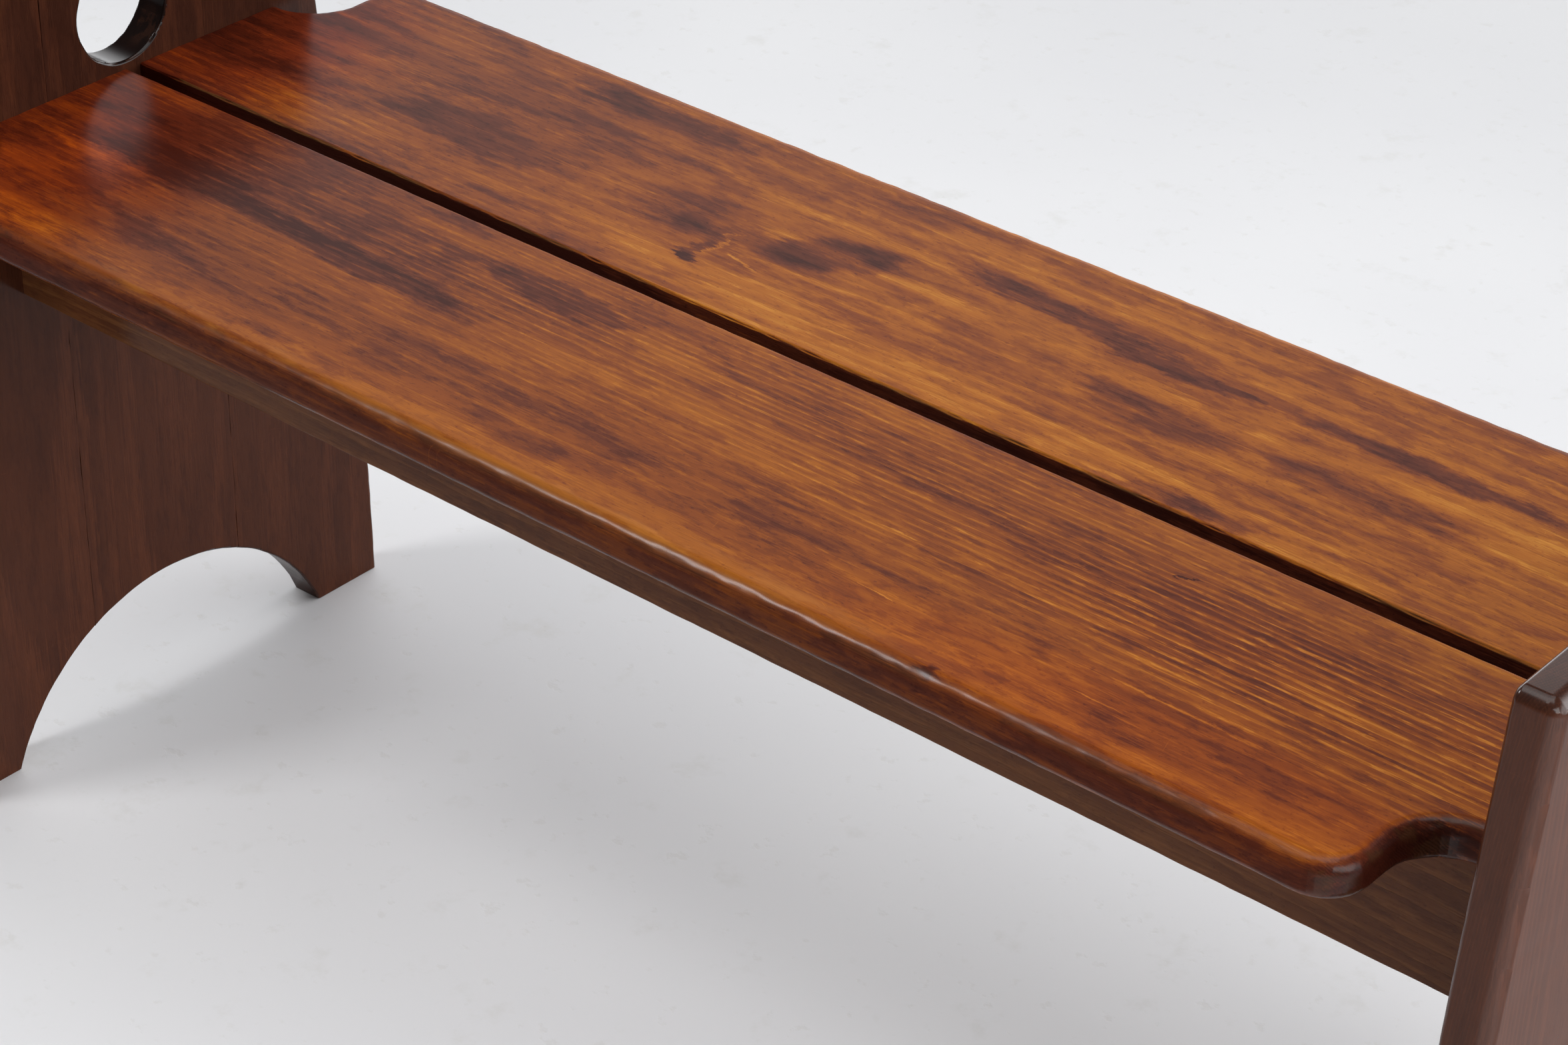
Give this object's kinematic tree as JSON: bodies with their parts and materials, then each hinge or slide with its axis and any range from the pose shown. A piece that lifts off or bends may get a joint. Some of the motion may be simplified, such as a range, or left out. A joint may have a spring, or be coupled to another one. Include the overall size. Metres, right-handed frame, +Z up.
{
  "type": "kneeling bench",
  "caption": "Low pine bench with a slotted board seat on aprons between two arched end panels that rise above the seat and have round hand holes.",
  "frame": {"origin": "on the floor, below the middle of the bench's outline", "axes": "+X along the bench to its right end, +Y to its back, +Z up through the seat"},
  "size_m": [1.084, 0.385, 0.549],
  "materials": {
    "seat_pine": "honey and red-brown stain under worn semi-gloss varnish, dark late wood stripes",
    "panel_pine": "dark brown stain under semi-gloss varnish, upright grain",
    "apron_pine": "mid brown stain under satin varnish, long grain",
    "underside_pine": "thin brown stain, unpolished",
    "dowel_beech": "bare turned beech",
    "screw_steel": "dull zinc-grey steel"
  },
  "bodies": {
    "root": {"back_apron": "apron_pine", "back_apron_screws": "screw_steel", "back_seat_board": "seat_pine", "batten_dowels": "dowel_beech", "batten_screws": "screw_steel", "centre_batten": "underside_pine", "front_apron": "apron_pine", "front_apron_screws": "screw_steel", "front_seat_board": "seat_pine", "left_apron_dowels": "dowel_beech", "left_cleat_panel_screws": "screw_steel", "left_cleat_seat_screws": "screw_steel", "left_end_back_stave": "panel_pine", "left_end_front_stave": "panel_pine", "left_end_middle_stave": "panel_pine", "left_seat_cleat": "underside_pine", "right_apron_dowels": "dowel_beech", "right_cleat_panel_screws": "screw_steel", "right_cleat_seat_screws": "screw_steel", "right_end_back_stave": "panel_pine", "right_end_front_stave": "panel_pine", "right_end_middle_stave": "panel_pine", "right_seat_cleat": "underside_pine"}
  },
  "joints": []
}
